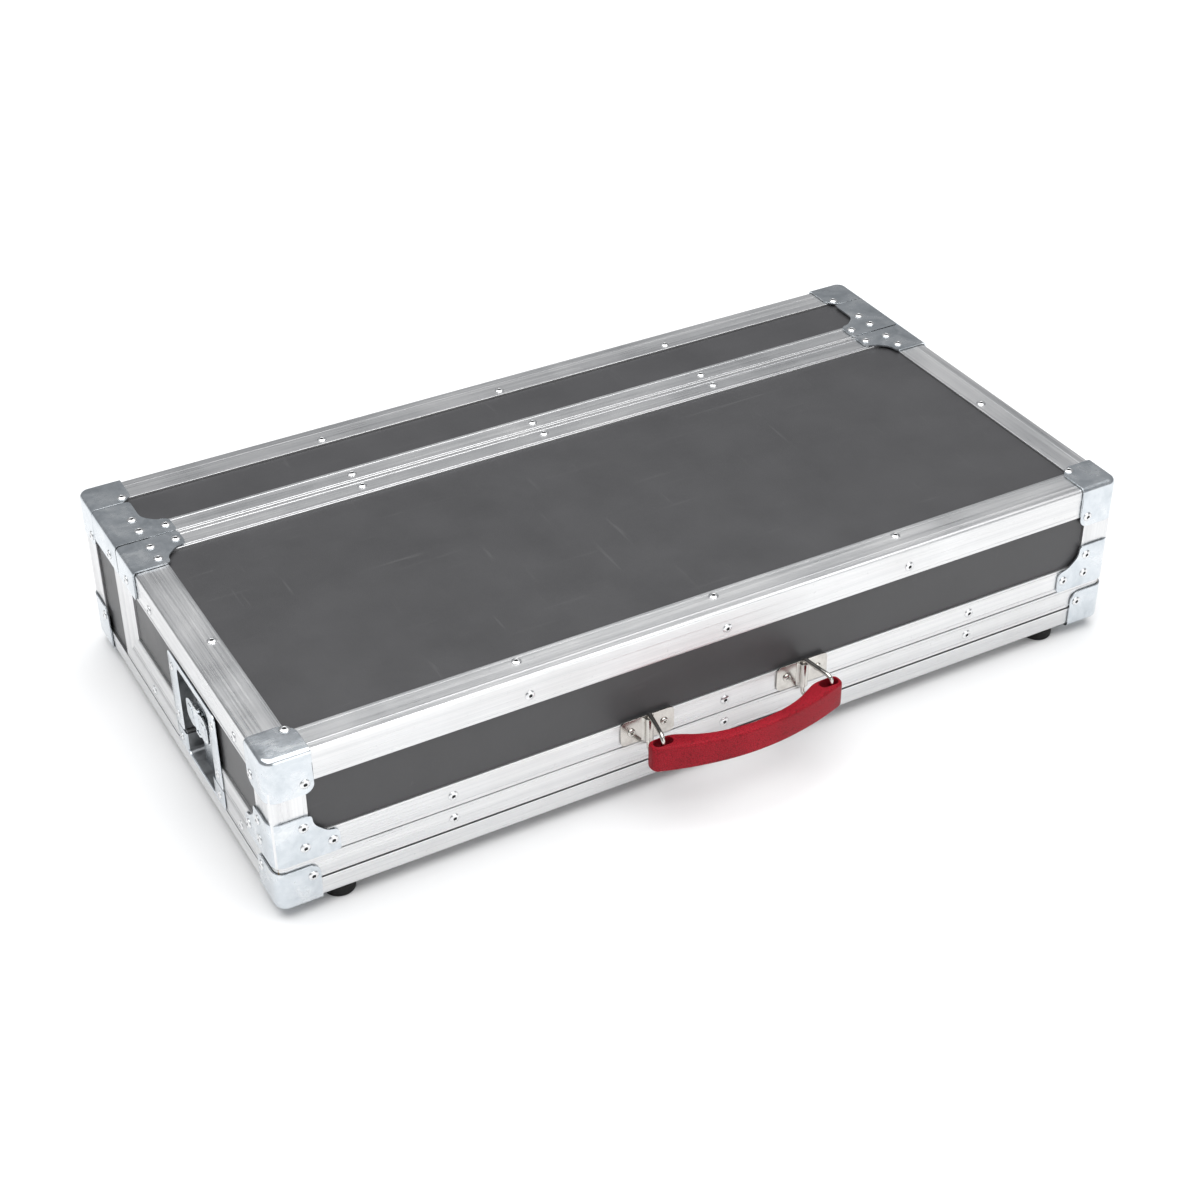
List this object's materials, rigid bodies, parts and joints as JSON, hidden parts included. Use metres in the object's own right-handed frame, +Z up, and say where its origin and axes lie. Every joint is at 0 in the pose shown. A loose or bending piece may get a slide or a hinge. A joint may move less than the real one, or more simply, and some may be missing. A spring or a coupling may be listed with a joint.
{
  "type": "pedalboard flight case",
  "caption": "Flight-case pedalboard: low tray with a full-height back box, lift-off lid, aluminium edges, riveted corners, butterfly latches and a red strap handle.",
  "frame": {"origin": "centre of the whole part on the floor it stands on, the soles of the feet at z = 0", "axes": "+X along the length to the right, +Y from the handle side to the back, +Z up"},
  "size_m": [0.807, 0.4906, 0.1595],
  "materials": {
    "aluminium_sections": "brushed along each run",
    "zinc_plated_steel": "bright zinc plate",
    "laminated_plywood": "satin grey laminate",
    "nickel_wire": "polished nickel plate",
    "batten_wood": "planed pine",
    "deck_plywood": "birch plywood",
    "loop_carpet": "black loop pile",
    "lid_foam": "dark grey open foam",
    "rubber": "matt",
    "screw_steel": "bright zinc plate",
    "rivet_aluminium": "bright",
    "grip_plastic": "fine leather grain, red"
  },
  "bodies": {
    "base": {"base_bottom_panel": "laminated_plywood", "base_front_wall": "laminated_plywood", "base_left_end_panel": "laminated_plywood", "base_right_end_panel": "laminated_plywood", "rear_back_panel": "laminated_plywood", "rear_top_panel": "laminated_plywood", "bottom_front_angle": "aluminium_sections", "bottom_back_angle": "aluminium_sections", "bottom_end_angles": "aluminium_sections", "rear_top_angle": "aluminium_sections", "rear_end_angles": "aluminium_sections", "rear_uprights": "aluminium_sections", "base_front_closing": "aluminium_sections", "base_left_closing": "aluminium_sections", "base_right_closing": "aluminium_sections", "rear_top_closing": "aluminium_sections", "base_corner_caps": "zinc_plated_steel", "rear_brackets": "zinc_plated_steel", "deck_battens": "batten_wood", "pedal_deck": "deck_plywood", "deck_screws": "screw_steel", "deck_carpet": "loop_carpet", "rubber_feet": "rubber", "foot_screws": "screw_steel", "left_latch_keeper": "zinc_plated_steel", "right_latch_keeper": "zinc_plated_steel", "base_rivets": "rivet_aluminium"},
    "lid": {"lid_top_panel": "laminated_plywood", "lid_front_panel": "laminated_plywood", "lid_left_end_panel": "laminated_plywood", "lid_right_end_panel": "laminated_plywood", "lid_front_angle": "aluminium_sections", "lid_end_angles": "aluminium_sections", "lid_uprights": "aluminium_sections", "lid_front_closing": "aluminium_sections", "lid_left_closing": "aluminium_sections", "lid_right_closing": "aluminium_sections", "lid_top_closing": "aluminium_sections", "lid_corner_caps": "zinc_plated_steel", "lid_top_brackets": "zinc_plated_steel", "lid_corner_brackets": "zinc_plated_steel", "lid_foam": "lid_foam", "lid_rivets": "rivet_aluminium", "handle_plates": "nickel_wire", "handle_screws": "screw_steel", "left_latch_dish": "zinc_plated_steel", "right_latch_dish": "zinc_plated_steel"},
    "grip": {"handle_grip": "grip_plastic"},
    "left_ring": {"left_handle_ring": "nickel_wire"},
    "right_ring": {"right_handle_ring": "nickel_wire"},
    "left_claw": {"left_latch_claw": "zinc_plated_steel"},
    "left_rotor": {"left_latch_rotor": "zinc_plated_steel"},
    "left_front_wing": {"left_latch_front_wing": "zinc_plated_steel"},
    "left_back_wing": {"left_latch_back_wing": "zinc_plated_steel"},
    "right_claw": {"right_latch_claw": "zinc_plated_steel"},
    "right_rotor": {"right_latch_rotor": "zinc_plated_steel"},
    "right_front_wing": {"right_latch_front_wing": "zinc_plated_steel"},
    "right_back_wing": {"right_latch_back_wing": "zinc_plated_steel"}
  },
  "joints": [
    {"name": "lid_lift_off", "type": "slide", "parent": "base", "child": "lid", "axis": [0, 0, 1], "range_m": [0, 0.25]},
    {"name": "grip_sway", "type": "slide", "parent": "lid", "child": "grip", "axis": [1, 0, 0], "range_m": [-0.01, 0.01]},
    {"name": "left_ring_swing", "type": "hinge", "parent": "lid", "child": "left_ring", "pos_m": [-0.075, -0.19225, 0.06425], "axis": [0, 0, 1], "range_deg": [-18, 18]},
    {"name": "left_latch_turn", "type": "hinge", "parent": "lid", "child": "left_rotor", "pos_m": [-0.395, -0.02725, 0.087], "axis": [1, 0, 0], "range_deg": [0, 180]},
    {"name": "left_claw_draw", "type": "slide", "parent": "lid", "child": "left_claw", "axis": [0.53, 0, 0.848], "range_m": [0, 0.00475]},
    {"name": "left_front_wing_fold", "type": "hinge", "parent": "left_rotor", "child": "left_front_wing", "pos_m": [-0.398, -0.03025, 0.087], "axis": [0, 0, -1], "range_deg": [0, 88]},
    {"name": "left_back_wing_fold", "type": "hinge", "parent": "left_rotor", "child": "left_back_wing", "pos_m": [-0.398, -0.02425, 0.087], "axis": [0, 0, 1], "range_deg": [0, 88]},
    {"name": "right_ring_swing", "type": "hinge", "parent": "lid", "child": "right_ring", "pos_m": [0.075, -0.19225, 0.06425], "axis": [0, 0, 1], "range_deg": [-18, 18]},
    {"name": "right_latch_turn", "type": "hinge", "parent": "lid", "child": "right_rotor", "pos_m": [0.395, -0.02725, 0.087], "axis": [1, 0, 0], "range_deg": [0, 180]},
    {"name": "right_claw_draw", "type": "slide", "parent": "lid", "child": "right_claw", "axis": [-0.53, 0, 0.848], "range_m": [0, 0.00475]},
    {"name": "right_front_wing_fold", "type": "hinge", "parent": "right_rotor", "child": "right_front_wing", "pos_m": [0.398, -0.03025, 0.087], "axis": [0, 0, 1], "range_deg": [0, 88]},
    {"name": "right_back_wing_fold", "type": "hinge", "parent": "right_rotor", "child": "right_back_wing", "pos_m": [0.398, -0.02425, 0.087], "axis": [0, 0, -1], "range_deg": [0, 88]}
  ],
  "couplings": [
    {"joint": "left_ring_swing", "follows": "grip_sway", "rad_per_m": 30.8},
    {"joint": "left_claw_draw", "follows": "left_latch_turn", "m_per_rad": 0.0015015},
    {"joint": "right_ring_swing", "follows": "grip_sway", "rad_per_m": 30.8},
    {"joint": "right_claw_draw", "follows": "right_latch_turn", "m_per_rad": 0.0015015}
  ]
}
